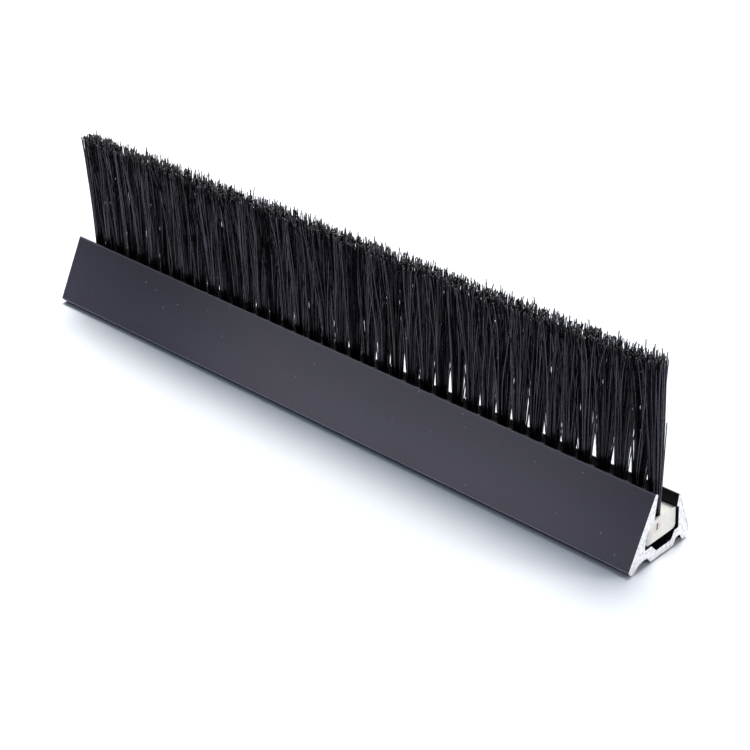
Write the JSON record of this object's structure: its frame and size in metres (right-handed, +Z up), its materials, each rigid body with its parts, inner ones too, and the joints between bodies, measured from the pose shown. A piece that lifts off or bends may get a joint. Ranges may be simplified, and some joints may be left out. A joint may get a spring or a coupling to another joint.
{
  "type": "brush seal strip",
  "caption": "Straight strip of black anodised extruded profile with leaning walls, holding a plastic bar with a single row of upright dark bristle tufts.",
  "frame": {"origin": "base plane of the profile, at mid length and mid width", "axes": "+X along the strip, +Y from the front wall to the rear wall, +Z up, from the base to the bristle tips"},
  "size_m": [0.2, 0.0229, 0.049],
  "materials": {
    "anodised_profile": "black anodised, satin, with bright sawn ends",
    "bar_plastic": "cream polypropylene, matt",
    "anchor_wire": "flat wire, dull",
    "bristle": "black nylon filament, satin"
  },
  "bodies": {
    "root": {"profile": "anodised_profile", "brush_bar": "bar_plastic", "tuft_anchors": "anchor_wire", "bristle_tufts": "bristle"}
  },
  "joints": []
}
